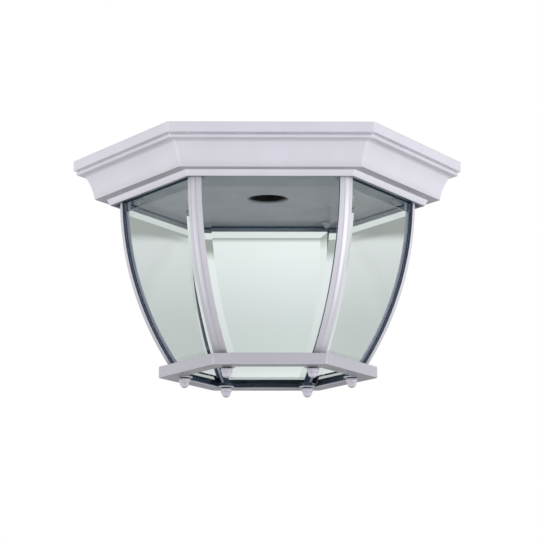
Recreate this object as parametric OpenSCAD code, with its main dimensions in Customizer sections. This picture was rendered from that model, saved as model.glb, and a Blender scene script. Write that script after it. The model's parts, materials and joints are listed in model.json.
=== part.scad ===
// Hexagonal ceiling light for outdoors: a moulded crown with a flat deck in it, a cage of
// six bent ribs with bent bevelled glass, and an open bottom ring held by six ball nuts.
// Millimetres, +Z up. The origin is the middle of the ceiling plane and the front is -Y.

/* [Crown] */
// Width of the crown across its corners
crown_w = 304.8; // [295:0.1:330]
// Height of the crown from the ceiling to its soffit
crown_h = 30.6; // [30.4:0.1:40]
// Wall thickness of the casting
crown_wall = 2.6; // [2:0.1:3.2]
// Height of the flat band at the top
band_h = 7.7; // [6.5:0.1:9]
// Height of the groove under the band
groove_h = 0.8; // [0.5:0.1:1.5]
// How far the groove lies behind the band
groove_in = 3.2; // [2.8:0.1:4]
// Height of the round bead under the groove
bead_h = 2.9; // [2.4:0.1:3.4]
// How far the bead stands back from the band
bead_in = 1.8; // [1:0.1:2.4]
// How far the top of the cove lies behind the band
cove_in = 7; // [6:0.1:8]
// How far the cove runs inwards from top to bottom
cove_run = 7.6; // [5:0.1:9]
// Radius of the hollow cove
cove_r = 42; // [36:1:80]
// Width of the flat soffit under the cove
soffit_w = 8.2; // [6:0.1:11]
// Height of the skirt that hangs below the soffit
skirt_h = 4.7; // [3.6:0.1:6.5]
// How far the skirt's outside leans in towards its lower edge
skirt_lean = 2.2; // [0.5:0.1:2.6]
// Width of the ledge inside that the deck lies against
ledge_w = 7.6; // [5:0.1:10]

/* [Deck] */
// Thickness of the deck sheet
deck_t = 1.2; // [0.8:0.1:1.6]
// How far the deck's underside lies above the soffit
deck_up = 0.6; // [0.2:0.1:1]
// Diameter of the hole for the lamp
deck_hole_d = 32.3; // [31:0.1:36]

/* [Cage] */
// Height of the light from the ceiling to the underside of the bottom ring
body_h = 171.6; // [150:0.1:185]
// Gap between the crown's skirt and the ribs at their widest
skirt_gap = 3.1; // [2:0.1:4]
// Bend radius of the ribs' side strips and of the glass
bend_r = 276; // [255:1:400]
// Width of a rib across both side strips
rib_w = 11.1; // [10:0.1:14]
// Width of the flat nose between the side strips
nose_w = 4.4; // [2.5:0.1:5.5]
// Thickness of a rib's strips
rib_t = 1.2; // [1:0.1:2]
// Thickness of the web between two panes
web_t = 2; // [1.4:0.1:2.6]
// Thickness of a rib's feet
foot_t = 2; // [1.6:0.1:3]
// Distance of each foot screw from the cage's corner
foot_in = 14.2; // [13.5:0.1:16]

/* [Glass] */
// Thickness of a pane
glass_t = 3.2; // [2.8:0.1:4]
// Thickness of a pane at its bevelled edges
edge_t = 1.5; // [1:0.1:2]
// Width of the bevel that shows beside a rib
bevel_w = 5.6; // [4:0.1:12]
// Height of the bevel at the upper edge
bevel_h = 9.2; // [5:0.1:12]
// Height of the bevel at the lower edge, behind the ring's band
low_bevel_h = 5; // [3:0.1:12]
// Thickness of the glazing strip's legs beside the web
strip_leg = 0.5; // [0.4:0.1:0.8]
// Width of the glazing strip
strip_w = 5.5; // [4.6:0.1:6.5]
// Depth of the glazing strip behind the panes
strip_t = 4.3; // [2:0.1:4.6]

/* [Bottom ring] */
// Height of the ring
ring_h = 8.7; // [7:0.1:12]
// Thickness of the ring's band
ring_wall = 2; // [1.5:0.1:3]
// Gap between the ribs and the band at its upper edge
ring_gap = 4.5; // [3:0.1:6]
// Radius of the ring's outer corners
ring_round = 2.5; // [1:0.1:4]
// Width of the flange, from the outside of the band
flange_w = 12.5; // [10:0.1:14]
// Thickness of the flange
flange_t = 1.6; // [1.2:0.1:2.2]
// Distance of each ball nut from the ring's corner
nut_in = 20.3; // [19:0.1:23]
// Radius of the round lobe round each ball nut
lobe_r = 6.3; // [5.5:0.1:7]

/* [Ball nuts] */
// Diameter of the collar
collar_d = 8.8; // [8:0.1:11]
// Height of the collar
collar_h = 3.5; // [3:0.1:4.5]
// Height of the neck between the collar and the ring
neck_h = 0.7; // [0.4:0.1:1]
// How far the neck lies behind the collar
neck_in = 0.9; // [0.5:0.1:1.2]
// Diameter of the ball
ball_d = 7.3; // [6.4:0.1:8.4]
// Height of ball and collar together
nut_h = 7.8; // [7:0.1:9]
// Diameter of the studs and of the small screws
stud_d = 4; // [3:0.1:4.4]

/* [Lampholder] */
// Inner diameter of the threaded shell
shell_d = 26.6; // [26:0.1:27]
// Wall thickness of the shell
shell_t = 0.7; // [0.5:0.1:0.9]
// Thickness of the holder's body above the shell
holder_cap = 5.4; // [5:0.1:7]
// Outer diameter of the holder's body
holder_d = 40; // [38:0.1:46]
// Gap between the holder's body and the mounting bar
holder_gap = 1.4; // [0.6:0.1:2]
// Distance of the two ear studs from the middle
ear_x = 25; // [24.5:0.1:27]
// Diameter of a lead over its insulation
lead_d = 2.6; // [2:0.1:3]
// Height of the leads above the deck
lead_up = 10.3; // [9.6:0.1:11]

/* [Terminal block] */
// Distance of the block's near face from the middle of the light
block_at = 50; // [46:0.1:60]
// Depth of the block
block_l = 20; // [18:0.1:26]
// Height of the block
block_h = 16; // [15:0.1:18]
// Distance from pole to pole
pole_gap = 14; // [13.5:0.1:16]
// Distance of the earth stud from the block
earth_gap = 20; // [17:0.1:22]

/* [Mounting bar] */
// Width of the bar
bar_w = 25; // [20:0.5:32]
// Thickness of the bar and its tabs
bar_t = 2; // [1.5:0.1:2]
// Distance between the middles of the two slots
slot_gap = 79.4; // [70:0.1:90]
// Length of a slot
slot_l = 14; // [10:0.1:18]
// Width of a slot
slot_w = 5; // [4.2:0.1:6]
// Length of the hook's lip
hook_l = 5; // [4:0.1:7]
// Height of the bar's tabs
tab_h = 10; // [9.5:0.1:11]

/* [Hidden] */
$fn = 64;

// Facets of the large bent surfaces, fine enough for a thin wall
bend_fn = 360;
bead_fn = 48;
// Overshoot of cuts, and a length longer than the light is wide
eps = 0.5;
far = 400;
// Clearance between pieces that lie close to each other, and round a shank in its hole
lay_gap = 0.3;
screw_gap = 0.05;
hole_gap = 0.3;

// Hexagon: from corner radius to apothem
c30 = cos(30);
t30 = tan(30);

// Crown outline, as apothems and levels
crown_a = crown_w / 2 * c30;
groove_z = -band_h;
bead_z = groove_z - groove_h;
cove_z = bead_z - bead_h;
cove_top_a = crown_a - cove_in;
cove_low_a = cove_top_a - cove_run;
skirt_a = cove_low_a - soffit_w;
skirt_low_a = skirt_a - skirt_lean;
skirt_in_a = skirt_low_a - crown_wall;
skirt_z = -crown_h - skirt_h;
neck_a = cove_top_a - crown_wall;

// Deck and ledge levels
deck_z = -crown_h + deck_up;
ledge_z = deck_z + deck_t;
ledge_top_z = ledge_z + crown_wall;
ledge_in_a = skirt_in_a - ledge_w;
deck_a = skirt_in_a - lay_gap;

// Cage: side strips and panes are bent round level axes at the height of the deck
cage_a = skirt_in_a - skirt_gap;
bend_z = deck_z;
ring_z = -body_h;
floor_z = ring_z + flange_t;
ring_top_z = ring_z + ring_h;
cage_l = bend_z - floor_z;

// Sagitta of a bend between the deck and a level, and the radius that gives a sagitta
function sag(r, z) = r - sqrt(r * r - (z - bend_z) * (z - bend_z));
function sag_radius(rise, s) = (rise * rise + s * s) / (2 * s);

// Nose of a rib, bent so that it stays as wide from top to bottom
nose_cut = nose_w / 2 * t30;
cage_corner = cage_a / c30;
nose_r = cage_corner - nose_cut;
nose_bend = sag_radius(cage_l, sag(bend_r, floor_z) / c30);

// Panes: they lie behind the strips, from the upper feet to the lower ones
glass_inset = rib_t + lay_gap;
glass_a = cage_a - glass_inset;
glass_r = bend_r - glass_inset;
glass_top_z = deck_z - foot_t - lay_gap;
glass_low_z = floor_z + foot_t + lay_gap;
glass_edge = web_t / 2 + strip_leg + lay_gap / 2;

// Bevels of a pane: beside a rib, the bend of the pane turned by the bevel's angle
bevel_from = rib_w / 2 + bevel_w * c30;
bevel_wide = (bevel_from - glass_edge) / c30;
bevel_cut = glass_t - edge_t;
bevel_angle = atan(bevel_cut / bevel_wide);
bevel_k = cos(bevel_angle) + t30 * sin(bevel_angle);
bevel_a = glass_a * bevel_k - bevel_from / c30 * sin(bevel_angle);
bevel_bend = sag_radius(cage_l, sag(glass_r, floor_z) * bevel_k);

// Depths behind the nose: the web's end, the glazing strip's legs and its back
web_in = (glass_inset + glass_t) / c30 - nose_cut;
leg_in = rib_t / c30 - nose_cut + (web_t / 2 + strip_leg) * t30 + lay_gap;
strip_in = web_in + strip_t;

// Bottom ring and its ball nuts
ring_in_a = cage_a - sag(bend_r, ring_top_z) + ring_gap;
ring_a = ring_in_a + ring_wall;
mouth_a = ring_a - flange_w;
nut_r = ring_a / c30 - nut_in;
nut_top_z = ring_z - screw_gap;
nut_low_z = nut_top_z - nut_h;
ball_floor = 2.2;
stud_low_z = nut_low_z + ball_floor;
stud_room = 0.5;
foot_screw_r = cage_corner - foot_in;
foot_w = 10;

// Small screws, nuts and the bosses that take them
head_d = 7.4;
head_h = 2.4;
hexnut_w = 7;
hexnut_h = 3.2;
thread_l = 6;
stud_end = 0.6;
boss_d = 9;
boss_h = 7.5;
pin_d = 3;
pin_head_d = 6;
pin_head_h = 2;
pin_room = 4.5;

// Lampholder levels and wall
mouth_z = ledge_z;
holder_top_z = -bar_t - holder_gap;
holder_h = holder_top_z - mouth_z;
shell_top_z = holder_top_z - holder_cap;
shell_l = shell_top_z - mouth_z;
shell_out_d = shell_d + 2 * shell_t;
contact_room = 2.5;
shell_mouth_d = 14;
ear_t = 3;
ear_w = 10;
ear_stud_l = ear_t + hexnut_h + stud_end;

// Terminal strips of the lampholder: over its top and down its side
plate_t = 0.7;
plate_w = 6;
groove_depth = 1.7;
post_x = 10.1;
strip_z = holder_top_z - groove_depth;
side_x = holder_d / 2 + screw_gap;

// Centre contact: a leaf that points into the shell
leaf_t = 0.5;
leaf_w = 5;
leaf_root_x = post_x - 0.2;
leaf_bend_x = 6.5;
leaf_tip_x = -1.5;
leaf_flat = 2;
leaf_room = 1;
leaf_drop = 1.8;
leaf_z = shell_top_z + 1.4;

// Leads: all three lie at one height, with bare ends under screws
lead_z = mouth_z + lead_up;
wire_d = 1.2;
wire_x = side_x + plate_t + wire_d / 2;
pin_z = lead_z + pin_d / 2 + wire_d / 2 + 0.1;
lead_y = 5;
wire_stub = 3;
lead_straight = 4;
neutral_y = lead_y + wire_x;
neutral_bend = (neutral_y - pole_gap) / 2;
neutral_x = block_at - lead_straight - 2 * neutral_bend;
eye_d = 9;
barrel_d = 3.8;
earth_x = block_at - earth_gap;
eye_l = 8;
crimp_l = 2.5;
earth_bend = (lead_up - barrel_d / 2) / 2;
earth_stud_l = plate_t + hexnut_h + stud_end;

// Terminal block
block_w = 3 * pole_gap - 1;
block_stud_l = block_h + hexnut_h + stud_end;
sleeve_d = 6;
sleeve_bore_d = 3.2;
sleeve_in = 1;
block_pin_x = 5;
block_pin_l = 3.4;

// Mounting bar: hooked under the crown at the front, locked by a screw at the back
bar_room = 1;
bar_y = neck_a - hook_l - bar_room;
lug_w = 20;
lug_h = 3;
lug_room = 2;
lock_z = -band_h / 2;
lock_boss_d = 7.4;

module at_corner(k) {
    rotate([0, 0, 60 * k]) children();
}

module at_side(k) {
    rotate([0, 0, 60 * k + 30]) children();
}

// A bar across the light whose section is drawn as distance from the middle and level
module across() {
    rotate([90, 0, 0]) linear_extrude(height = far, center = true) children();
}

// A hexagonal moulding, mitred at the corners, from its section in apothem and level
module moulding() {
    rotate_extrude($fn = 6) scale([1 / c30, 1]) children();
}

module hex_prism(a, z0, z1) {
    translate([0, 0, z0]) cylinder(r = a / c30, h = z1 - z0, $fn = 6);
}

// Screw that stands on the underside of its head, with the shank upwards
module pan_screw(d, l, hd, hh) {
    cylinder(d = d, h = l);
    translate([0, 0, -hh]) cylinder(d1 = hd - 1.6, d2 = hd, h = hh);
}

module hex_nut() {
    difference() {
        cylinder(d = hexnut_w / c30, h = hexnut_h, $fn = 6);
        translate([0, 0, -eps]) cylinder(d = stud_d + 2 * screw_gap, h = hexnut_h + 2 * eps);
    }
}

// Crown

module cove_circle(r) {
    drop = cove_z + crown_h;
    chord = sqrt(cove_run * cove_run + drop * drop);
    reach = sqrt(cove_r * cove_r - chord * chord / 4);
    translate([
        (cove_top_a + cove_low_a) / 2 + reach * drop / chord,
        (cove_z - crown_h) / 2 - reach * cove_run / chord
    ]) circle(r = r, $fn = bend_fn);
}

module crown_outline() {
    bead_r = bead_h / 2;
    translate([0, groove_z]) square([crown_a, band_h]);
    translate([0, bead_z - eps]) square([crown_a - groove_in, groove_h + 2 * eps]);
    translate([0, cove_z]) square([crown_a - bead_in - bead_r, bead_h]);
    translate([crown_a - bead_in - bead_r, cove_z + bead_r]) circle(r = bead_r, $fn = bead_fn);
    difference() {
        polygon([[0, cove_z + eps], [cove_top_a, cove_z + eps], [cove_top_a, cove_z],
            [cove_low_a, -crown_h], [0, -crown_h]]);
        cove_circle(cove_r);
    }
    polygon([[0, -crown_h + eps], [skirt_a, -crown_h + eps], [skirt_a, -crown_h],
        [skirt_low_a, skirt_z], [0, skirt_z]]);
}

module crown_hollow() {
    hollow_a = crown_a - crown_wall;
    difference() {
        polygon([[0, eps], [hollow_a, eps], [hollow_a, -band_h + crown_wall],
            [neck_a, bead_z], [neck_a, cove_z], [cove_low_a, ledge_top_z],
            [0, ledge_top_z]]);
        cove_circle(cove_r + crown_wall);
    }
}

module crown_boss() {
    translate([foot_screw_r, 0, ledge_z]) cylinder(d = boss_d, h = boss_h);
    translate([foot_screw_r, -boss_d / 2, ledge_z])
        cube([ledge_in_a / c30 - foot_screw_r + boss_d / 2, boss_d, crown_wall]);
}

module lock_boss() {
    boss_l = crown_a - crown_wall / 2 - bar_y - screw_gap;
    translate([0, bar_y + screw_gap, lock_z]) rotate([-90, 0, 0])
        cylinder(d = lock_boss_d, h = boss_l);
}

module hook_lug() {
    translate([-lug_w / 2, -crown_a + crown_wall / 2, -tab_h + bar_t])
        cube([lug_w, crown_a - crown_wall / 2 - bar_y - lug_room, lug_h]);
}

module crown() {
    color("whitesmoke") difference() {
        union() {
            moulding() difference() {
                crown_outline();
                crown_hollow();
                translate([0, ledge_z - eps]) square([ledge_in_a, crown_h]);
                translate([0, skirt_z - eps]) square([skirt_in_a, ledge_z - skirt_z + eps]);
            }
            for (k = [0:5]) at_corner(k) crown_boss();
            lock_boss();
            hook_lug();
        }
        for (k = [0:5]) at_corner(k) translate([foot_screw_r, 0, ledge_z - eps])
            cylinder(d = stud_d + 2 * screw_gap, h = thread_l + eps);
        translate([0, bar_y - eps, lock_z]) rotate([-90, 0, 0])
            cylinder(d = stud_d + 2 * hole_gap, h = crown_a - bar_y + 2 * eps);
    }
}

// Mounting bar and its locking screw

module slot() {
    run = (slot_l - slot_w) / 2;
    for (y = [-run, run]) translate([0, y]) circle(d = slot_w);
    square([slot_w, 2 * run], center = true);
}

module mounting_bar() {
    color("silver") difference() {
        union() {
            translate([-bar_w / 2, -bar_y, -bar_t]) cube([bar_w, 2 * bar_y, bar_t]);
            for (y = [-bar_y, bar_y - bar_t]) translate([-bar_w / 2, y, -tab_h])
                cube([bar_w, bar_t, tab_h]);
            translate([-bar_w / 2, -bar_y - hook_l, -tab_h])
                cube([bar_w, hook_l + bar_t, bar_t - screw_gap]);
        }
        for (s = [-1, 1]) translate([0, s * slot_gap / 2, -bar_t - eps])
            linear_extrude(height = bar_t + 2 * eps) slot();
        translate([0, bar_y - bar_t - eps, lock_z]) rotate([-90, 0, 0])
            cylinder(d = stud_d + 2 * screw_gap, h = bar_t + 2 * eps);
    }
}

module locking_screw() {
    color("whitesmoke") translate([0, crown_a + screw_gap, lock_z]) rotate([90, 0, 0])
        pan_screw(stud_d, crown_a - bar_y + bar_t + 1, head_d, head_h);
}

// Deck, the four studs welded upright on it, and the nuts on them

module deck() {
    color("gainsboro") difference() {
        hex_prism(deck_a, deck_z, ledge_z);
        translate([0, 0, deck_z - eps]) cylinder(d = deck_hole_d, h = deck_t + 2 * eps);
        for (k = [0:5]) at_corner(k) translate([foot_screw_r, 0, deck_z - eps])
            cylinder(d = stud_d + 2 * hole_gap, h = deck_t + 2 * eps);
    }
}

module deck_studs() {
    color("silver") {
        for (s = [-1, 1]) translate([0, s * ear_x, ledge_z]) cylinder(d = stud_d, h = ear_stud_l);
        translate([earth_x, 0, ledge_z]) cylinder(d = stud_d, h = earth_stud_l);
        translate([block_at + block_l / 2, pole_gap / 2, ledge_z])
            cylinder(d = stud_d, h = block_stud_l);
    }
}

module deck_nuts() {
    color("silver") {
        for (s = [-1, 1]) translate([0, s * ear_x, ledge_z + ear_t]) hex_nut();
        translate([earth_x, 0, ledge_z + plate_t]) hex_nut();
        translate([block_at + block_l / 2, pole_gap / 2, ledge_z + block_h]) hex_nut();
    }
}

// Lampholder

module holder_body() {
    slot_t = plate_t + 2 * lay_gap;
    slot_b = plate_w + 2 * lay_gap;
    room_x = leaf_tip_x - leaf_flat - leaf_room;
    color([0.13, 0.13, 0.14]) difference() {
        union() {
            translate([0, 0, mouth_z]) cylinder(d = holder_d, h = holder_h);
            for (s = [-1, 1]) translate([0, s * ear_x, mouth_z]) cylinder(d = ear_w, h = ear_t);
            translate([-ear_w / 2, -ear_x, mouth_z]) cube([ear_w, 2 * ear_x, ear_t]);
        }
        translate([0, 0, mouth_z - eps])
            cylinder(d = shell_out_d + 2 * screw_gap, h = shell_l + eps);
        translate([room_x, -slot_b / 2, shell_top_z - eps])
            cube([post_x + plate_t + lay_gap - room_x, slot_b, contact_room + eps]);
        for (s = [-1, 1]) {
            translate([s * (post_x + plate_t / 2), 0, shell_top_z + holder_h / 2])
                cube([slot_t, slot_b, holder_h + 2 * eps], center = true);
            translate([s * (post_x - lay_gap + far / 2), 0, strip_z + holder_h / 2])
                cube([far, slot_b, holder_h], center = true);
            translate([s * (holder_d / 2 + eps), 0, pin_z]) rotate([0, -90 * s, 0])
                cylinder(d = pin_d + 2 * screw_gap, h = pin_room + eps);
            translate([0, s * ear_x, mouth_z - eps])
                cylinder(d = stud_d + 2 * hole_gap, h = ear_t + 2 * eps);
        }
    }
}

module screw_shell() {
    color("goldenrod") difference() {
        translate([0, 0, mouth_z]) cylinder(d = shell_out_d, h = shell_l);
        translate([0, 0, mouth_z - eps]) cylinder(d = shell_d, h = shell_l - shell_t + eps);
        translate([0, 0, shell_top_z - shell_t - eps])
            cylinder(d = shell_mouth_d, h = shell_t + 2 * eps);
    }
}

module centre_contact() {
    tip_z = leaf_z - leaf_drop;
    color("goldenrod") rotate([90, 0, 0]) linear_extrude(height = leaf_w, center = true) polygon([
        [leaf_root_x, leaf_z], [leaf_root_x, leaf_z + leaf_t], [leaf_bend_x, leaf_z + leaf_t],
        [leaf_tip_x, tip_z + leaf_t], [leaf_tip_x - leaf_flat, tip_z + leaf_t],
        [leaf_tip_x - leaf_flat, tip_z], [leaf_tip_x, tip_z], [leaf_bend_x, leaf_z]
    ]);
}

module terminal_strip(low_z) {
    color("goldenrod") difference() {
        union() {
            translate([post_x, -plate_w / 2, low_z])
                cube([plate_t, plate_w, strip_z + plate_t - low_z]);
            translate([post_x, -plate_w / 2, strip_z])
                cube([side_x + plate_t - post_x, plate_w, plate_t]);
            translate([side_x, -plate_w / 2, lead_z - 2])
                cube([plate_t, plate_w, strip_z + plate_t - lead_z + 2]);
        }
        translate([side_x - eps, 0, pin_z]) rotate([0, 90, 0])
            cylinder(d = pin_d + 2 * hole_gap, h = plate_t + 2 * eps);
    }
}

module live_terminal() {
    terminal_strip(leaf_z);
}

module neutral_terminal() {
    rotate([0, 0, 180]) terminal_strip(shell_top_z);
}

module terminal_screws() {
    color("silver") for (s = [-1, 1])
        translate([s * (wire_x + wire_d / 2), 0, pin_z]) rotate([0, -90 * s, 0])
            pan_screw(pin_d, wire_d + plate_t + pin_room - eps, pin_head_d, pin_head_h);
}

// Terminal block

module terminal_block() {
    color("white") difference() {
        translate([block_at, -block_w / 2, ledge_z]) cube([block_l, block_w, block_h]);
        for (k = [-1, 0, 1]) translate([block_at - eps, k * pole_gap, lead_z]) {
            rotate([0, 90, 0]) cylinder(d = sleeve_d + 2 * screw_gap, h = block_l + 2 * eps);
            for (x = [block_pin_x, block_l - block_pin_x]) translate([x + eps, 0, 0])
                cylinder(d = pin_d + 1.6, h = block_h);
        }
        translate([block_at + block_l / 2, pole_gap / 2, ledge_z - eps])
            cylinder(d = stud_d + 2 * hole_gap, h = block_h + 2 * eps);
    }
}

module block_sleeves() {
    color("goldenrod") for (k = [-1, 0, 1]) translate([block_at + sleeve_in, k * pole_gap, lead_z])
        difference() {
            rotate([0, 90, 0]) cylinder(d = sleeve_d, h = block_l - 2 * sleeve_in);
            translate([-eps, 0, 0]) rotate([0, 90, 0])
                cylinder(d = sleeve_bore_d, h = block_l);
            for (x = [block_pin_x, block_l - block_pin_x]) translate([x - sleeve_in, 0, 0])
                cylinder(d = pin_d + 2 * screw_gap, h = sleeve_d);
        }
}

module block_screws() {
    color("silver") for (k = [-1, 0, 1]) for (x = [block_pin_x, block_l - block_pin_x])
        translate([block_at + x, k * pole_gap, lead_z + wire_d / 2 + screw_gap])
            cylinder(d = pin_d, h = block_pin_l);
}

// Leads

module lead_run(x, y, heading, l, d) {
    translate([x, y, 0]) rotate([0, 0, heading]) rotate([0, 90, 0]) cylinder(d = d, h = l);
}

module lead_turn(x, y, r, from) {
    translate([x, y, 0]) rotate([0, 0, from]) rotate_extrude(angle = 90)
        translate([r, 0]) circle(d = lead_d);
}

module lead_tail(y, from) {
    lead_run(from, y, 0, block_at - from, lead_d);
    lead_run(block_at, y, 0, block_pin_x + wire_stub, wire_d);
}

module lead_live() {
    bend = pole_gap - lead_y;
    color("firebrick") translate([0, 0, lead_z]) {
        lead_run(wire_x, -wire_stub, 90, lead_y + wire_stub, wire_d);
        lead_turn(wire_x + bend, lead_y, bend, 90);
        lead_tail(pole_gap, wire_x + bend);
    }
}

module lead_neutral() {
    color("white") translate([0, 0, lead_z]) {
        lead_run(-wire_x, wire_stub, -90, lead_y + wire_stub, wire_d);
        lead_turn(0, -lead_y, wire_x, 180);
        lead_run(0, -neutral_y, 0, neutral_x, lead_d);
        lead_turn(neutral_x, neutral_bend - neutral_y, neutral_bend, 270);
        lead_turn(neutral_x + 2 * neutral_bend, neutral_bend - neutral_y, neutral_bend, 90);
        lead_tail(-pole_gap, neutral_x + 2 * neutral_bend);
    }
}

module lead_earth() {
    start = earth_x + eye_l;
    color("forestgreen") {
        translate([0, 0, ledge_z]) difference() {
            union() {
                translate([earth_x, 0, 0]) cylinder(d = eye_d, h = plate_t);
                translate([earth_x, -barrel_d / 2, 0]) cube([eye_l, barrel_d, plate_t]);
                translate([0, 0, barrel_d / 2]) lead_run(start - crimp_l, 0, 0, crimp_l, barrel_d);
            }
            translate([earth_x, 0, -eps])
                cylinder(d = stud_d + 2 * hole_gap, h = plate_t + 2 * eps);
        }
        translate([0, 0, ledge_z + barrel_d / 2]) rotate([90, 0, 0]) {
            lead_turn(start, earth_bend, earth_bend, 270);
            lead_turn(start + 2 * earth_bend, earth_bend, earth_bend, 90);
        }
        translate([0, 0, lead_z]) lead_tail(0, start + 2 * earth_bend);
    }
}

// Cage: the disc is the section of a bent surface at a depth behind its outside

module bend_disc(a, r, depth) {
    translate([a - r, bend_z]) circle(r = r - depth, $fn = bend_fn);
}

module cage_wedge(depth) {
    intersection() {
        rotate([0, 0, 30]) across() bend_disc(cage_a, bend_r, depth);
        rotate([0, 0, -30]) across() bend_disc(cage_a, bend_r, depth);
    }
}

module nose_solid(depth) {
    across() bend_disc(nose_r, nose_bend, depth);
}

// Upright slab through a corner, as wide as w
module corner_slab(w, z0, z1) {
    translate([cage_corner / 4, -w / 2, z0]) cube([cage_corner, w, z1 - z0]);
}

module foot(r, z) {
    translate([r, 0, z]) cylinder(d = foot_w, h = foot_t);
    translate([r, -foot_w / 2, z]) cube([cage_corner - r, foot_w, foot_t]);
}

module rib() {
    color("whitesmoke") difference() {
        intersection() {
            cage_wedge(0);
            nose_solid(0);
            union() {
                difference() {
                    corner_slab(rib_w, floor_z, deck_z);
                    cage_wedge(rib_t);
                }
                difference() {
                    corner_slab(web_t, floor_z, deck_z);
                    nose_solid(web_in);
                }
                foot(foot_screw_r, deck_z - foot_t);
                foot(nut_r, floor_z);
            }
        }
        translate([foot_screw_r, 0, deck_z - foot_t - eps])
            cylinder(d = stud_d + 2 * hole_gap, h = foot_t + 2 * eps);
        translate([nut_r, 0, floor_z - eps])
            cylinder(d = stud_d + 2 * screw_gap, h = foot_t + 2 * eps);
    }
}

module rib_screws() {
    color("silver") for (k = [0:5]) at_corner(k) translate([foot_screw_r, 0, deck_z - foot_t])
        pan_screw(stud_d, foot_t + deck_t + thread_l - 1, head_d, head_h);
}

module ring_studs() {
    color("silver") for (k = [0:5]) at_corner(k) translate([nut_r, 0, stud_low_z])
        cylinder(d = stud_d, h = floor_z + foot_t - stud_low_z);
}

module glazing_strip() {
    color([0.08, 0.13, 0.2]) difference() {
        union() {
            intersection() {
                cage_wedge(glass_inset + glass_t + lay_gap / 2);
                corner_slab(strip_w, glass_low_z, glass_top_z);
            }
            intersection() {
                nose_solid(leg_in);
                corner_slab(web_t + 2 * strip_leg, glass_low_z, glass_top_z);
            }
        }
        nose_solid(strip_in);
        difference() {
            corner_slab(web_t + 2 * screw_gap, ring_z, ledge_z);
            nose_solid(web_in + screw_gap);
        }
    }
}

// Panes

function glass_out(z) = glass_a - sag(glass_r, z);

module pane_outline() {
    low_bevel_z = glass_low_z + low_bevel_h;
    top_bevel_z = glass_top_z - bevel_h;
    intersection() {
        difference() {
            bend_disc(glass_a, glass_r, 0);
            bend_disc(glass_a, glass_r, glass_t);
        }
        polygon([
            [0, glass_low_z], [glass_out(glass_low_z) - bevel_cut, glass_low_z],
            [glass_out(low_bevel_z), low_bevel_z], [far, low_bevel_z], [far, top_bevel_z],
            [glass_out(top_bevel_z), top_bevel_z],
            [glass_out(glass_top_z) - bevel_cut, glass_top_z], [0, glass_top_z]
        ]);
    }
}

module bevel_solid(angle) {
    rotate([0, 0, angle]) across() bend_disc(bevel_a, bevel_bend, 0);
}

module pane() {
    reach = far / 2;
    color([0.85, 0.9, 0.92, 0.4]) intersection() {
        across() pane_outline();
        bevel_solid(bevel_angle);
        bevel_solid(-bevel_angle);
        translate([0, 0, ring_z]) linear_extrude(height = body_h) polygon([
            [2 * glass_edge, 0], [reach, (reach - 2 * glass_edge) * t30],
            [reach, -(reach - 2 * glass_edge) * t30]
        ]);
    }
}

// Bottom ring and ball nuts

module round_hexagon(a, r) {
    flat_w = 2 * a * t30 - 2 * r * t30;
    for (k = [0:2]) rotate(60 * k + 30) square([2 * a, flat_w], center = true);
    for (k = [0:5]) rotate(60 * k) translate([(a - r) / c30, 0]) circle(r = r);
}

module bottom_ring() {
    color("whitesmoke") difference() {
        translate([0, 0, ring_z]) linear_extrude(height = ring_h)
            round_hexagon(ring_a, ring_round);
        hex_prism(ring_in_a, floor_z, ring_top_z + eps);
        difference() {
            hex_prism(mouth_a, ring_z - eps, floor_z + eps);
            for (k = [0:5]) at_corner(k) translate([nut_r, 0, ring_z - 1])
                cylinder(r = lobe_r, h = flange_t + 2);
        }
        for (k = [0:5]) at_corner(k) translate([nut_r, 0, ring_z - eps])
            cylinder(d = stud_d + 2 * hole_gap, h = flange_t + 2 * eps);
    }
}

module ball_nut() {
    color("whitesmoke") translate([nut_r, 0, 0]) difference() {
        union() {
            translate([0, 0, nut_top_z - neck_h]) cylinder(d = collar_d - 2 * neck_in, h = neck_h);
            translate([0, 0, nut_top_z - collar_h]) cylinder(d = collar_d, h = collar_h - neck_h);
            translate([0, 0, nut_low_z + ball_d / 2]) sphere(d = ball_d);
        }
        translate([0, 0, stud_low_z - stud_room])
            cylinder(d = stud_d + 2 * screw_gap, h = nut_h);
    }
}

// The six ribs, panes, glazing strips and ball nuts, each in its place

module rib_right() {
    at_corner(0) rib();
}

module rib_back_right() {
    at_corner(1) rib();
}

module rib_back_left() {
    at_corner(2) rib();
}

module rib_left() {
    at_corner(3) rib();
}

module rib_front_left() {
    at_corner(4) rib();
}

module rib_front_right() {
    at_corner(5) rib();
}

module glass_back_right() {
    at_side(0) pane();
}

module glass_back() {
    at_side(1) pane();
}

module glass_back_left() {
    at_side(2) pane();
}

module glass_front_left() {
    at_side(3) pane();
}

module glass_front() {
    at_side(4) pane();
}

module glass_front_right() {
    at_side(5) pane();
}

module glazing_strip_right() {
    at_corner(0) glazing_strip();
}

module glazing_strip_back_right() {
    at_corner(1) glazing_strip();
}

module glazing_strip_back_left() {
    at_corner(2) glazing_strip();
}

module glazing_strip_left() {
    at_corner(3) glazing_strip();
}

module glazing_strip_front_left() {
    at_corner(4) glazing_strip();
}

module glazing_strip_front_right() {
    at_corner(5) glazing_strip();
}

module ball_nut_right() {
    at_corner(0) ball_nut();
}

module ball_nut_back_right() {
    at_corner(1) ball_nut();
}

module ball_nut_back_left() {
    at_corner(2) ball_nut();
}

module ball_nut_left() {
    at_corner(3) ball_nut();
}

module ball_nut_front_left() {
    at_corner(4) ball_nut();
}

module ball_nut_front_right() {
    at_corner(5) ball_nut();
}

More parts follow.
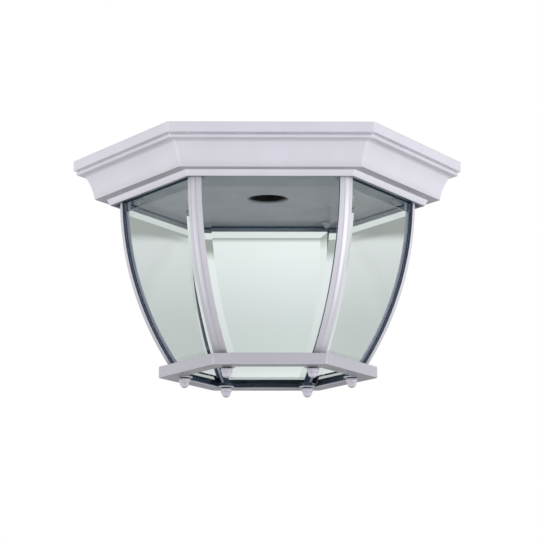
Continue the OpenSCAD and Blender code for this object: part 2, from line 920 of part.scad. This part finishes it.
crown();
mounting_bar();
locking_screw();
deck();
deck_studs();
deck_nuts();
holder_body();
screw_shell();
centre_contact();
live_terminal();
neutral_terminal();
terminal_screws();
terminal_block();
block_sleeves();
block_screws();
lead_live();
lead_neutral();
lead_earth();
rib_screws();
ring_studs();
bottom_ring();
rib_right();
rib_back_right();
rib_back_left();
rib_left();
rib_front_left();
rib_front_right();
glass_back_right();
glass_back();
glass_back_left();
glass_front_left();
glass_front();
glass_front_right();
glazing_strip_right();
glazing_strip_back_right();
glazing_strip_back_left();
glazing_strip_left();
glazing_strip_front_left();
glazing_strip_front_right();
ball_nut_right();
ball_nut_back_right();
ball_nut_back_left();
ball_nut_left();
ball_nut_front_left();
ball_nut_front_right();
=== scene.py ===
import json
import math

import bpy
from mathutils import Matrix, Vector


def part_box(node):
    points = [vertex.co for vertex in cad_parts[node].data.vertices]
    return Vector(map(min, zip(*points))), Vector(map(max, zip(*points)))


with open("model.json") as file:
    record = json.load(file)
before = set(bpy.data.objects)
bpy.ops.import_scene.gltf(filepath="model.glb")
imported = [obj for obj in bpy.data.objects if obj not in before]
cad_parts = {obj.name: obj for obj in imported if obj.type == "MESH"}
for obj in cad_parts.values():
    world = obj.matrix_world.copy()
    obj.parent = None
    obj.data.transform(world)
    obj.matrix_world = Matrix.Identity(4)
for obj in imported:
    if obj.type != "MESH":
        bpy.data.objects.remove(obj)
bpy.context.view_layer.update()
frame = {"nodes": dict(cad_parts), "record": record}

CORNERS = ("right", "back_right", "back_left", "left", "front_left", "front_right")
SIDES = ("back_right", "back", "back_left", "front_left", "front", "front_right")
TURN = math.radians(60.0)

RIGHT = (1.0, 0.0, 0.0)
BACK = (0.0, 1.0, 0.0)
UP = (0.0, 0.0, 1.0)


# Levels and sizes of the part, in metres, from the frame

def lowest(node):
    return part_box(node)[0].z


def highest(node):
    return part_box(node)[1].z


RING_LOW = lowest("bottom_ring")
SKIRT_LOW = lowest("crown")
DECK_LOW = lowest("deck")
DECK_TOP = highest("deck")
GLASS_LOW = lowest("glass_front")
GLASS_TOP = highest("glass_front")
CAGE_HEIGHT = highest("rib_right") - lowest("rib_right")
NOSE_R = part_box("rib_right")[1].x


# Sizes of the part's source that no box gives

DECK_UP = 0.0006  # from the soffit up to the deck's underside
FOOT_T = 0.0020  # thickness of a rib's feet
NOSE_W = 0.0044  # width of a rib's flat nose
BEVEL_FROM = 0.0120  # from the corner of two panes to the inner edge of a side bevel
TOP_BEVEL_H = 0.0092  # height of the bevel at a pane's upper edge
LOW_BEVEL_H = 0.0050  # height of the bevel at a pane's lower edge
PANE_BEND = 0.276  # radius to which the panes are bent

SOFFIT = DECK_LOW - DECK_UP
FOOT_LOW = DECK_LOW - FOOT_T
TOP_BEVEL = GLASS_TOP - TOP_BEVEL_H
LOW_BEVEL = GLASS_LOW + LOW_BEVEL_H

# Where two bent panes meet, the rib's nose runs in further than they do
NOSE_RUN = (PANE_BEND - math.sqrt(PANE_BEND ** 2 - CAGE_HEIGHT ** 2)) / math.cos(TURN / 2)
NOSE_BEND = (CAGE_HEIGHT ** 2 + NOSE_RUN ** 2) / (2 * NOSE_RUN)


# Camera: below the light and a little to its left, looking up

CAMERA_AT = Vector((-0.0399, -1.8879, -0.4363))
CAMERA_TO = Vector((0.0017, 0.0, -0.0865))
CAMERA_ROLL = math.radians(-0.18)
CAMERA_LENS = 163.9
CAMERA_SENSOR = 36.0
CAMERA_REACH = 100.0

camera_data = bpy.data.cameras.new("camera")
camera_data.lens = CAMERA_LENS
camera_data.sensor_width = CAMERA_SENSOR
camera_data.sensor_fit = "HORIZONTAL"
camera_data.clip_end = CAMERA_REACH
camera = bpy.data.objects.new("camera", camera_data)
bpy.context.collection.objects.link(camera)
aim = (CAMERA_TO - CAMERA_AT).to_track_quat("-Z", "Y").to_matrix().to_4x4()
camera.matrix_world = Matrix.Translation(CAMERA_AT) @ aim @ Matrix.Rotation(CAMERA_ROLL, 4, "Z")
bpy.context.scene.camera = camera


# Node trees

BUMP_HEIGHT = 0.0001
NOISE_MIDDLE = (0.3, 0.7)


class Tree:
    """A node tree with short calls for what the materials here need."""

    def __init__(self, tree):
        self.tree = tree
        tree.nodes.clear()

    def node(self, kind, **settings):
        made = self.tree.nodes.new(kind)
        for name, value in settings.items():
            setattr(made, name, value)
        return made

    def put(self, value, socket):
        if isinstance(value, bpy.types.NodeSocket):
            self.tree.links.new(value, socket)
        elif value is not None:
            socket.default_value = value

    def math(self, operation, a, b=None, c=None):
        made = self.node("ShaderNodeMath", operation=operation)
        for value, socket in zip((a, b, c), made.inputs):
            self.put(value, socket)
        return made.outputs[0]

    def span(self, value, start, end, at_start=0.0, at_end=1.0):
        """Goes smoothly from one result to the other while the value goes from start to end."""
        made = self.node("ShaderNodeMapRange", interpolation_type="SMOOTHSTEP")
        for number, item in enumerate((value, start, end, at_start, at_end)):
            self.put(item, made.inputs[number])
        return made.outputs[0]

    def mix(self, factor, a, b):
        made = self.node("ShaderNodeMix", data_type="RGBA")
        self.put(factor, made.inputs[0])
        self.put(a, made.inputs[6])
        self.put(b, made.inputs[7])
        return made.outputs[2]

    def noise(self, scale, detail, rough):
        made = self.node("ShaderNodeTexNoise")
        self.put(self.place(), made.inputs["Vector"])
        self.put(scale, made.inputs["Scale"])
        self.put(detail, made.inputs["Detail"])
        self.put(rough, made.inputs["Roughness"])
        return made.outputs["Fac"]

    def spread(self, noise, low=0.0, high=1.0):
        """Stretches the middle of a noise over a range of results."""
        return self.span(noise, *NOISE_MIDDLE, low, high)

    def place(self):
        return self.node("ShaderNodeTexCoord").outputs["Object"]

    def normal(self):
        return self.node("ShaderNodeTexCoord").outputs["Normal"]

    def dot(self, a, b):
        made = self.node("ShaderNodeVectorMath", operation="DOT_PRODUCT")
        self.put(a, made.inputs[0])
        self.put(b, made.inputs[1])
        return made.outputs["Value"]

    def scaled(self, color, factor):
        made = self.node("ShaderNodeVectorMath", operation="SCALE")
        self.put(color, made.inputs[0])
        self.put(factor, made.inputs["Scale"])
        return made.outputs["Vector"]

    def bump(self, height, strength):
        made = self.node("ShaderNodeBump")
        self.put(strength, made.inputs["Strength"])
        self.put(BUMP_HEIGHT, made.inputs["Distance"])
        self.put(height, made.inputs["Height"])
        return made.outputs["Normal"]

    def principled(self, color, roughness, metallic=0.0):
        made = self.node("ShaderNodeBsdfPrincipled")
        self.put(color, made.inputs["Base Color"])
        self.put(roughness, made.inputs["Roughness"])
        self.put(metallic, made.inputs["Metallic"])
        return made

    def blend(self, factor, first, second):
        """A shader that is the first where the factor is nothing, and the second where it is one."""
        made = self.node("ShaderNodeMixShader")
        for value, socket in zip((factor, first.outputs[0], second.outputs[0]), made.inputs):
            self.put(value, socket)
        return made

    def surface(self, shader, kind="ShaderNodeOutputMaterial"):
        out = self.node(kind)
        self.put(shader.outputs[0], out.inputs["Surface"])


def material(name):
    made = bpy.data.materials.new(name)
    made.use_nodes = True
    return made, Tree(made.node_tree)


def rgb(color):
    return (*color, 1.0)


def times(color, tone):
    return [tone * value for value in color]


# Where a point lies and how its surface faces

def level(t):
    return t.dot(t.place(), UP)


def apart(t, value, place):
    return t.math("ABSOLUTE", t.math("SUBTRACT", value, place))


def rib_frame(angle):
    """The directions out from the middle and sideways at an angle round the light."""
    return (math.cos(angle), math.sin(angle), 0.0), (-math.sin(angle), math.cos(angle), 0.0)


def corner_distance(t):
    """How far a point lies from the nearest upright plane through a corner and the middle."""
    across = t.dot(t.place(), BACK)
    ahead = t.dot(t.place(), RIGHT)
    squares = t.math("ADD", t.math("MULTIPLY", across, across), t.math("MULTIPLY", ahead, ahead))
    planes = len(CORNERS) / 2
    heading = t.math("MULTIPLY", t.math("ARCTAN2", across, ahead), planes)
    folded = t.math("DIVIDE", t.math("ABSOLUTE", t.math("SINE", heading)), planes)
    return t.math("MULTIPLY", t.math("SQRT", squares), folded)


def looks(t, direction, facing):
    """One where a surface faces a direction; facing is the part of the normal at nothing and at one."""
    return t.span(t.dot(t.normal(), direction), *facing)


def looks_sideways(t, side, facing):
    return t.span(t.math("ABSOLUTE", t.dot(t.normal(), side)), *facing)


def looks_in(t):
    """One where a wall faces the middle of the light from some distance."""
    return t.span(t.dot(t.place(), t.normal()), *INWARDS)


# Colours of the paint, and painted light and shade laid over it
# A tone is (start, end, tone at the start, tone at the end), by level, distance or facing
# A facing is the part of the normal in a direction where a tone starts and where it is full

WHITE_PAINT = (0.70, 0.685, 0.745)
# Painted shade: the ring's colour is the white paint darkened
RING_PAINT_SHADED = (0.48, 0.472, 0.52)
# Painted shade: the nuts' colour is the white paint darkened
NUT_PAINT_SHADED = (0.60, 0.58, 0.65)
# Painted shade: the deck is white paint in shade, given as a grey
DECK_SHADE = (0.285, 0.295, 0.325)
# Painted shade: grey on the crown's inner walls, and nearly black on the down-facing lower edge of its
# skirt
INSIDE_SHADE = (0.17, 0.20, 0.235)
RIM_SHADE = (0.06, 0.08, 0.10)
# Painted shade: the strips' flanks are white paint in shade, given as a grey
FLANK_SHADE = (0.44, 0.47, 0.57)
# Navy: painted shade inside the ring and on the ribs' ends away from the light; also the dark of the
# ribs' insides, of the strips beside the ribs and of the panes' top edges
NAVY = (0.021, 0.040, 0.074)

CLOUD = {"scale": 28.0, "detail": 4.0, "rough": 0.6}
CLOUD_TONE = 0.955
CAST_NOISE = {"scale": 650.0, "detail": 2.0, "rough": 0.5}
GLOSS_NOISE = {"scale": 45.0, "detail": 1.0, "rough": 0.4}
GLOSS_CHANGE = 0.03
SATIN = 0.32
FLAT = 0.5
CAST_GRAIN = 0.10
SHEET_GRAIN = 0.06

DOWN = (-0.55, -0.95)
INWARDS = (-0.02, -0.05)  # in metres: how far the wall's plane lies from the middle
# Painted highlight: the paint is lighter along the upright corners of the crown and the ring
CORNER_HIGHLIGHT = (0.0015, 0.0004, 1.0, 1.10)

CROWN_EDGE = 0.0009
CROWN_DOWN = (-0.30, -0.85)
# Painted light and shade on the crown: shade at the foot of the cove, light on the top of the skirt,
# shade lower on the skirt, shade on the down-facing soffit, and a painted shadow under the bead
COVE_SHADE = (SOFFIT + 0.0066, SOFFIT + 0.0004, 1.0, 0.93)
SKIRT_TOP_LIGHT = (SOFFIT - 0.0001, SOFFIT - 0.0004, 1.0, 1.31)
SKIRT_LOW_SHADE = (SOFFIT - 0.0004, SKIRT_LOW, 1.0, 0.89)
SOFFIT_SHADE = (SOFFIT + 0.0011, SOFFIT + 0.0003, 0.94, 0.44)
BEAD_SHADOW_LEVEL = -0.0120
BEAD_SHADOW_TONE = (0.0005, 0.0012, 0.80, 1.0)
CROWN_INSIDE = (DECK_TOP + 0.0002, DECK_TOP - 0.0002)
CROWN_RIM = (SKIRT_LOW + 0.0008, SKIRT_LOW + 0.0003)

# Painted shade on the ring: darker where it faces down, and navy on the inner wall
RING_UNDER_SHADE = (0.0, 1.0, 1.0, 0.36)
RING_INSIDE = (RING_LOW + 0.0006, RING_LOW + 0.0011)

# Painted shade on the nuts: darker where they face down, and a painted shadow in the joint under the
# ring
NUT_UNDER_SHADE = (0.0, 1.0, 1.0, 0.6)
NUT_TOP_SHADOW = (RING_LOW - 0.0006, RING_LOW - 0.0008, 0.15, 1.0)

# Painted light and shade on the ribs: each rib lighter or darker by the side it stands on, darker low
# down, a painted highlight along the nose and painted shade in the creases beside it
RIB_LIGHT_SHADE = {"right": 0.97, "back_right": 0.97, "back_left": 0.90, "left": 0.90,
            "front_left": 0.88, "front_right": 1.02}
RIB_LOW_SHADE = (RING_LOW, -0.075, 0.72, 1.0)
NOSE_HIGHLIGHT = (0.0008, 0.0018, 1.06, 1.0)
CREASE_SHADE = (-0.155, -0.105, 0.95, 0.83)
CREASE_W = (0.0002, 0.0008)
RIB_FOOT = (FOOT_LOW - 0.0006, FOOT_LOW)
RIB_ENDS = (0.82, 0.92)
RIB_INSIDE = (-0.1, -0.3)
RIB_LIT = (0.4, 0.6)


def toned(t, tint, value, tone):
    return t.scaled(tint, t.span(value, *tone))


def clouded(t, color):
    """A colour that is a little darker in places."""
    return t.mix(t.spread(t.noise(**CLOUD)), rgb(color), rgb(times(color, CLOUD_TONE)))


def paint_skin(t, tint, roughness=SATIN, grain=CAST_GRAIN, round_edge=None):
    """Paint with fine grain and a little change in gloss."""
    gloss = t.spread(t.noise(**GLOSS_NOISE), roughness - GLOSS_CHANGE, roughness + GLOSS_CHANGE)
    shader = t.principled(tint, gloss)
    skin = t.bump(t.noise(**CAST_NOISE), grain)
    if round_edge:
        edge = t.node("ShaderNodeBevel", samples=6)
        t.put(round_edge, edge.inputs["Radius"])
        t.put(edge.outputs[0], skin.node.inputs["Normal"])
    t.put(skin, shader.inputs["Normal"])
    t.surface(shader)


def make_paint(name, color, roughness=SATIN, grain=CAST_GRAIN):
    made, t = material(name)
    paint_skin(t, clouded(t, color), roughness, grain)
    return made


def make_crown_paint():
    """Painted light on the skirt; painted shade in the folds, under the bead, on the soffit and inside;
    a painted highlight on the corners.
    """
    made, t = material("crown_paint")
    tint = clouded(t, WHITE_PAINT)
    # Painted shade at the foot of the cove and low on the skirt, painted light on the top of the skirt
    for tone in (COVE_SHADE, SKIRT_TOP_LIGHT, SKIRT_LOW_SHADE):
        tint = toned(t, tint, level(t), tone)
    tint = toned(t, tint, corner_distance(t), CORNER_HIGHLIGHT)
    # Painted shadow under the bead
    tint = toned(t, tint, apart(t, level(t), BEAD_SHADOW_LEVEL), BEAD_SHADOW_TONE)
    # Painted shade on faces that look down, deepest on the soffit
    down = looks(t, UP, CROWN_DOWN)
    under = t.math("SUBTRACT", t.span(level(t), *SOFFIT_SHADE), 1.0)
    tint = t.scaled(tint, t.math("MULTIPLY_ADD", down, under, 1.0))
    # Painted shade on the inner walls and on the skirt's lower edge
    inside = t.math("MULTIPLY", looks_in(t), t.span(level(t), *CROWN_INSIDE))
    tint = t.mix(inside, tint, rgb(INSIDE_SHADE))
    rim = t.math("MULTIPLY", down, t.span(level(t), *CROWN_RIM))
    tint = t.mix(rim, tint, rgb(RIM_SHADE))
    paint_skin(t, tint, round_edge=CROWN_EDGE)
    return made


def make_ring_paint():
    """Painted shade: the white paint darkened, darker still where it faces down, and navy inside behind
    the glass; a painted highlight on the corners.
    """
    made, t = material("ring_paint")
    tint = toned(t, clouded(t, RING_PAINT_SHADED), corner_distance(t), CORNER_HIGHLIGHT)
    # Painted shade where the ring faces down
    tint = toned(t, tint, looks(t, UP, DOWN), RING_UNDER_SHADE)
    # Painted shade: navy on the inner wall behind the glass
    inside = t.math("MULTIPLY", looks_in(t), t.span(level(t), *RING_INSIDE))
    paint_skin(t, t.mix(inside, tint, rgb(NAVY)))
    return made


def make_nut_paint():
    """Painted shade: a painted shadow in the joint under the ring, and darker where it faces down."""
    made, t = material("nut_paint")
    tint = toned(t, clouded(t, NUT_PAINT_SHADED), level(t), NUT_TOP_SHADOW)
    paint_skin(t, toned(t, tint, looks(t, UP, DOWN), NUT_UNDER_SHADE))
    return made


def make_rib_paint(corner, angle):
    """Painted light and shade: lit or shaded by corner, darker low down, shaded in the creases, a
    highlight on the nose, navy on the strips' unlit ends and inside, the deck's grey shade at the foot.
    """
    made, t = material("rib_paint_" + corner)
    out, side = rib_frame(angle)
    tint = clouded(t, times(WHITE_PAINT, RIB_LIGHT_SHADE[corner]))
    # Painted shade, darker low down
    tint = toned(t, tint, level(t), RIB_LOW_SHADE)
    beside = t.math("ABSOLUTE", t.dot(t.place(), side))
    # Painted shade in the creases beside the nose
    crease_shade = t.span(level(t), *CREASE_SHADE)
    tint = toned(t, tint, apart(t, beside, NOSE_W / 2), (*CREASE_W, crease_shade, 1.0))
    # Painted highlight along the nose
    tint = toned(t, tint, beside, NOSE_HIGHLIGHT)
    # Painted shade: navy on the strips' ends that face away from the right lamp
    unlit = t.math("SUBTRACT", 1.0, looks(t, RIGHT, RIB_LIT))
    ends = t.math("MULTIPLY", looks_sideways(t, side, RIB_ENDS), unlit)
    tint = t.mix(t.math("MAXIMUM", ends, looks(t, out, RIB_INSIDE)), tint, rgb(NAVY))
    # Painted shade: the deck's grey at the foot
    tint = t.mix(t.span(level(t), *RIB_FOOT), tint, rgb(DECK_SHADE))
    paint_skin(t, tint)
    return made


# Even surfaces

PLAIN_NOISE = {"scale": 400.0, "detail": 3.0, "rough": 0.5}
SMOOTHER = 0.04
ROUGHER = 0.06

SEAL_DEPTH = 0.0034
SEAL_BLUR = 0.0002
STRIP_ROUGHNESS = 0.37
STRIP_FLANKS = (0.7, 0.9)


def plain_skin(t, tint, roughness, metallic=0.0, grain=0.1, gloss=0.5):
    """An even surface with fine grain and a little change in roughness."""
    fine = t.noise(**PLAIN_NOISE)
    shader = t.principled(tint, t.spread(fine, roughness - SMOOTHER, roughness + ROUGHER), metallic)
    t.put(gloss, shader.inputs["Specular IOR Level"])
    t.put(t.bump(fine, grain), shader.inputs["Normal"])
    t.surface(shader)


def make_plain(name, color, roughness, **look):
    made, t = material(name)
    plain_skin(t, rgb(color), roughness, **look)
    return made


def make_strip_paint(corner, angle):
    """Navy next to the rib, to the sealing depth, and painted shade, a pale grey, on the strip's flanks
    beyond it.
    """
    made, t = material("strip_paint_" + corner)
    out, side = rib_frame(angle)
    drop = t.math("SUBTRACT", level(t), DECK_LOW)
    bend = t.math("SQRT", t.math("SUBTRACT", NOSE_BEND ** 2, t.math("MULTIPLY", drop, drop)))
    nose = t.math("ADD", bend, NOSE_R - NOSE_BEND)
    depth = t.math("SUBTRACT", nose, t.dot(t.place(), out))
    beyond = t.span(depth, SEAL_DEPTH - SEAL_BLUR, SEAL_DEPTH + SEAL_BLUR)
    flank = t.math("MULTIPLY", looks_sideways(t, side, STRIP_FLANKS), beyond)
    # Painted shade on the flanks
    plain_skin(t, t.mix(flank, rgb(NAVY), rgb(FLANK_SHADE)), STRIP_ROUGHNESS)
    return made


# Glass

PANE_TINT = (0.955, 0.972, 0.967)
PANE_DIM = 0.88
# Painted shade: a cooler, darker tint in the side bevels for the darker room seen through them, darker
# still on the front side panes
BEVEL_SHADE_TINT = (0.80, 0.83, 0.92)
BEVEL_SHADE_TONE = {"front_left": 0.88, "front_right": 0.88}
PANE_SLANT = (0.460, 0.492)
BEVEL_SLANT = (0.53, 0.64)
SLANT_BLEND = 0.5
STRAIGHT_TINT = (0.93, 0.95, 0.94)
# Painted shade: the grey that only the camera sees through a back pane's lowest bevel
BACK_BEVEL_SHADE = (0.68, 0.71, 0.70)
GLASS_IOR = 1.38
GLASS_GLOSS = (0.06, 0.06, 0.06)
COAT = {"Coat Weight": 0.04, "Coat Roughness": 0.02, "Coat IOR": 1.5}
BEVEL_BLUR = 0.0001
# A narrow band along each pane's top edge is navy, with no transmission
GLASS_DARK_TOP = (GLASS_TOP - 0.0014, GLASS_TOP - 0.0012)
LOW_STRAIGHT = (LOW_BEVEL + 0.0004, LOW_BEVEL - 0.0002)
TOP_STRAIGHT = (TOP_BEVEL - 0.0004, TOP_BEVEL + 0.0002)


def pane_tint(t, side, angle, dark_top):
    """Dimmer at a slant, a cooler painted shade in the bevels beside the ribs, and navy along the top
    edge.
    """
    out, along = rib_frame(angle)
    half = t.math("MULTIPLY", t.dot(t.place(), out), math.tan(TURN / 2))
    from_rib = t.math("SUBTRACT", half, t.math("ABSOLUTE", t.dot(t.place(), along)))
    bevel = t.span(from_rib, BEVEL_FROM + BEVEL_BLUR, BEVEL_FROM - BEVEL_BLUR)
    weight = t.node("ShaderNodeLayerWeight")
    t.put(SLANT_BLEND, weight.inputs["Blend"])
    slant = weight.outputs["Facing"]
    pane = t.mix(t.span(slant, *PANE_SLANT), rgb(PANE_TINT), rgb(times(PANE_TINT, PANE_DIM)))
    # Painted shade in the bevels
    bevel_shade = rgb(times(BEVEL_SHADE_TINT, BEVEL_SHADE_TONE.get(side, 1.0)))
    pane = t.mix(t.math("MULTIPLY", bevel, t.span(slant, *BEVEL_SLANT)), pane, bevel_shade)
    return t.mix(dark_top, pane, rgb(NAVY))


def make_glass(side, angle):
    """Light goes straight through the lowest bevel, and through a front pane's top bevel; through a
    back pane's lowest bevel the camera sees a grey painted shade.
    """
    made, t = material("glass_" + side)
    dark_top = t.span(level(t), *GLASS_DARK_TOP)
    shader = t.principled(pane_tint(t, side, angle, dark_top), roughness=0.0)
    t.put(t.math("SUBTRACT", 1.0, dark_top), shader.inputs["Transmission Weight"])
    t.put(GLASS_IOR, shader.inputs["IOR"])
    t.put(rgb(GLASS_GLOSS), shader.inputs["Specular Tint"])
    for name, value in COAT.items():
        t.put(value, shader.inputs[name])
    path = t.node("ShaderNodeLightPath")
    clear = t.node("ShaderNodeBsdfTransparent")
    straight = t.span(level(t), *LOW_STRAIGHT)
    if "front" in side:
        t.put(rgb(STRAIGHT_TINT), clear.inputs["Color"])
        top = t.math("SUBTRACT", t.span(level(t), *TOP_STRAIGHT), dark_top)
        straight = t.math("MAXIMUM", straight, top)
    else:
        # Painted shade for the camera through a back pane's lowest bevel
        grey = t.math("MULTIPLY", straight, path.outputs["Is Camera Ray"])
        t.put(t.mix(grey, rgb(STRAIGHT_TINT), rgb(BACK_BEVEL_SHADE)), clear.inputs["Color"])
    ray = t.math("MAXIMUM", path.outputs["Is Shadow Ray"], path.outputs["Is Diffuse Ray"])
    t.surface(t.blend(t.math("MAXIMUM", ray, straight), shader, clear))
    return made


# Each node's material: its own, or else that of its slot

BY_SLOT = {
    "white_paint": make_paint("white_paint", WHITE_PAINT),
    # The deck's paint is a grey that stands for white paint in shade
    "deck_paint": make_paint("deck_paint", DECK_SHADE, FLAT, SHEET_GRAIN),
    "zinc_steel": make_plain("zinc_steel", (0.62, 0.63, 0.65), 0.28, metallic=1.0, grain=0.15),
    "holder_resin": make_plain("holder_resin", (0.02, 0.02, 0.022), 0.4, grain=0.2, gloss=0.3),
    "brass": make_plain("brass", (0.72, 0.52, 0.24), 0.25, metallic=1.0),
    "block_plastic": make_plain("block_plastic", (0.78, 0.78, 0.75), 0.4),
    "lead_black": make_plain("lead_black", (0.015, 0.015, 0.016), 0.38),
    "lead_white": make_plain("lead_white", (0.75, 0.75, 0.74), 0.38),
    "lead_green": make_plain("lead_green", (0.02, 0.2, 0.05), 0.38),
}
OWN = {
    "crown": make_crown_paint(),
    "bottom_ring": make_ring_paint(),
    # Painted shade: the screw shell is nearly black, for the dark inside the lamp holder
    "screw_shell": make_plain("shell_painted_shade", (0.008, 0.007, 0.006), 0.55, metallic=0.3, gloss=0.08),
}
nut_paint = make_nut_paint()
for number, corner in enumerate(CORNERS):
    OWN["rib_" + corner] = make_rib_paint(corner, number * TURN)
    OWN["glazing_strip_" + corner] = make_strip_paint(corner, number * TURN)
    OWN["ball_nut_" + corner] = nut_paint
for number, side in enumerate(SIDES):
    OWN["glass_" + side] = make_glass(side, (number + 0.5) * TURN)

slot_of = {part["node"]: part["material_slot"] for part in frame["record"]["subparts"]}
for name, node in frame["nodes"].items():
    node.data.materials.clear()
    node.data.materials.append(OWN.get(name) or BY_SLOT[slot_of[name]])


# Soft edges on the castings

WELD_DISTANCE = 0.00001
FLAT_ANGLE = math.radians(0.3)
EDGE_ANGLE = math.radians(28.0)
EDGE_SEGMENTS = 2
SOFT_EDGES = {
    "bottom_ring": 0.0005,
    "mounting_bar": 0.0003,
    "holder_body": 0.0005,
    "terminal_block": 0.0005,
    "locking_screw": 0.0002,
}
for corner in CORNERS:
    SOFT_EDGES["rib_" + corner] = 0.00025
    SOFT_EDGES["ball_nut_" + corner] = 0.0003


def soften(node, width):
    weld = node.modifiers.new("weld", "WELD")
    weld.merge_threshold = WELD_DISTANCE
    flat = node.modifiers.new("flat", "DECIMATE")
    flat.decimate_type = "DISSOLVE"
    flat.angle_limit = FLAT_ANGLE
    bevel = node.modifiers.new("bevel", "BEVEL")
    bevel.width = width
    bevel.segments = EDGE_SEGMENTS
    bevel.limit_method = "ANGLE"
    bevel.angle_limit = EDGE_ANGLE
    bevel.harden_normals = True


for name, width in SOFT_EDGES.items():
    soften(frame["nodes"][name], width)


# Room: white for the camera, soft light for the object, and a room of its own through the glass
# A pair of degrees is the height above the horizon at which one colour gives way to the next

WHITE = (1.0, 1.0, 1.0)
SOFT_LIGHT = (0.97, 0.97, 1.0)
SOFT_STRENGTH = 0.75
ROOM_LOW = (0.80, 0.85, 0.84)
WALL_GREY = (0.66, 0.71, 0.70)
WALL_PALE = (0.90, 0.94, 0.935)
BAND_GREY = (0.42, 0.45, 0.42)
CEILING_PALE = (0.88, 0.92, 0.915)
CEILING_GREY = (0.62, 0.63, 0.58)

LOW_DEGREES = (8.3, 7.8)
WALL_DEGREES = (8.5, 11.3)
BAND_DEGREES = (11.05, 11.35)
CEILING_DEGREES = (14.5, 15.5)

WALL_LEFT_TONE = (-0.005, 0.035, 0.955, 1.01)
WALL_RIGHT_TONE = (0.045, 0.060, 1.0, 0.965)
BAND_RIGHT_TONE = (0.045, 0.065, 1.0, 0.82)
CEILING_MIDDLE = 0.02
CEILING_W = (0.028, 0.045)


def rising(t, height, degrees):
    return t.span(height, *[math.sin(math.radians(angle)) for angle in degrees])


def room_color(t):
    """A pale wall, a darker band above it, and a ceiling that is pale in the middle."""
    parts = t.node("ShaderNodeSeparateXYZ")
    t.put(t.node("ShaderNodeTexCoord").outputs["Generated"], parts.inputs[0])
    across = parts.outputs[0]
    height = parts.outputs[2]
    wall = t.mix(rising(t, height, WALL_DEGREES), rgb(WALL_GREY), rgb(WALL_PALE))
    wall = t.mix(rising(t, height, LOW_DEGREES), wall, rgb(ROOM_LOW))
    wall = toned(t, wall, across, WALL_LEFT_TONE)
    wall = toned(t, wall, across, WALL_RIGHT_TONE)
    band = toned(t, BAND_GREY, across, BAND_RIGHT_TONE)
    wall = t.mix(rising(t, height, BAND_DEGREES), wall, band)
    beside = apart(t, across, CEILING_MIDDLE)
    ceiling = t.mix(t.span(beside, *CEILING_W), rgb(CEILING_PALE), rgb(CEILING_GREY))
    return t.mix(rising(t, height, CEILING_DEGREES), wall, ceiling)


def background(t, color, strength=1.0):
    made = t.node("ShaderNodeBackground")
    t.put(color, made.inputs["Color"])
    t.put(strength, made.inputs["Strength"])
    return made


def make_room():
    made = bpy.data.worlds.new("room")
    made.use_nodes = True
    t = Tree(made.node_tree)
    path = t.node("ShaderNodeLightPath")
    soft = background(t, rgb(SOFT_LIGHT), SOFT_STRENGTH)
    through = t.blend(path.outputs["Is Transmission Ray"], soft, background(t, room_color(t)))
    final = t.blend(path.outputs["Is Camera Ray"], through, background(t, rgb(WHITE)))
    t.surface(final, "ShaderNodeOutputWorld")
    return made


bpy.context.scene.world = make_room()


# Lamps, which neither the camera nor the glass shows

LIGHT_MIDDLE = (0.0, 0.0, -0.08)
RIGHT_BAND = (0.05, -0.08, -0.08)


def area_light(name, at, to, width, height, power):
    data = bpy.data.lights.new(name, "AREA")
    data.shape = "RECTANGLE"
    data.size = width
    data.size_y = height
    data.energy = power
    made = bpy.data.objects.new(name, data)
    bpy.context.collection.objects.link(made)
    made.location = at
    made.rotation_euler = (Vector(to) - Vector(at)).to_track_quat("-Z", "Y").to_euler()
    made.visible_camera = False
    made.visible_transmission = False


area_light("key_light", (1.3, -2.0, -0.4), LIGHT_MIDDLE, width=1.2, height=1.2, power=3.0)
area_light("right_light", (1.85, -1.0, -0.5), RIGHT_BAND, width=0.25, height=1.2, power=17.8)
area_light("left_light", (-2.1, -0.75, -0.65), LIGHT_MIDDLE, width=0.9, height=1.0, power=16.8)


# Floor, far below, as in a room: white for the camera, and as pale as the room through the glass

FLOOR_Z = -2.3
FLOOR_HALF = 12.0
FLOOR_GREY = (0.8, 0.8, 0.8)
FLOOR_CORNERS = ((-1, -1), (1, -1), (1, 1), (-1, 1))


def make_floor_material():
    made, t = material("floor")
    path = t.node("ShaderNodeLightPath")
    plain = t.node("ShaderNodeBsdfDiffuse")
    t.put(rgb(FLOOR_GREY), plain.inputs["Color"])
    through = path.outputs["Is Transmission Ray"]
    glow = t.node("ShaderNodeEmission")
    t.put(t.mix(through, rgb(WHITE), rgb(ROOM_LOW)), glow.inputs["Color"])
    seen = t.math("MAXIMUM", path.outputs["Is Camera Ray"], through)
    t.surface(t.blend(seen, plain, glow))
    return made


floor_mesh = bpy.data.meshes.new("floor")
floor_points = [(x * FLOOR_HALF, y * FLOOR_HALF, FLOOR_Z) for x, y in FLOOR_CORNERS]
floor_mesh.from_pydata(floor_points, [], [range(len(floor_points))])
floor_mesh.materials.append(make_floor_material())
floor = bpy.data.objects.new("floor", floor_mesh)
bpy.context.collection.objects.link(floor)


bpy.context.scene.view_settings.view_transform = "Standard"
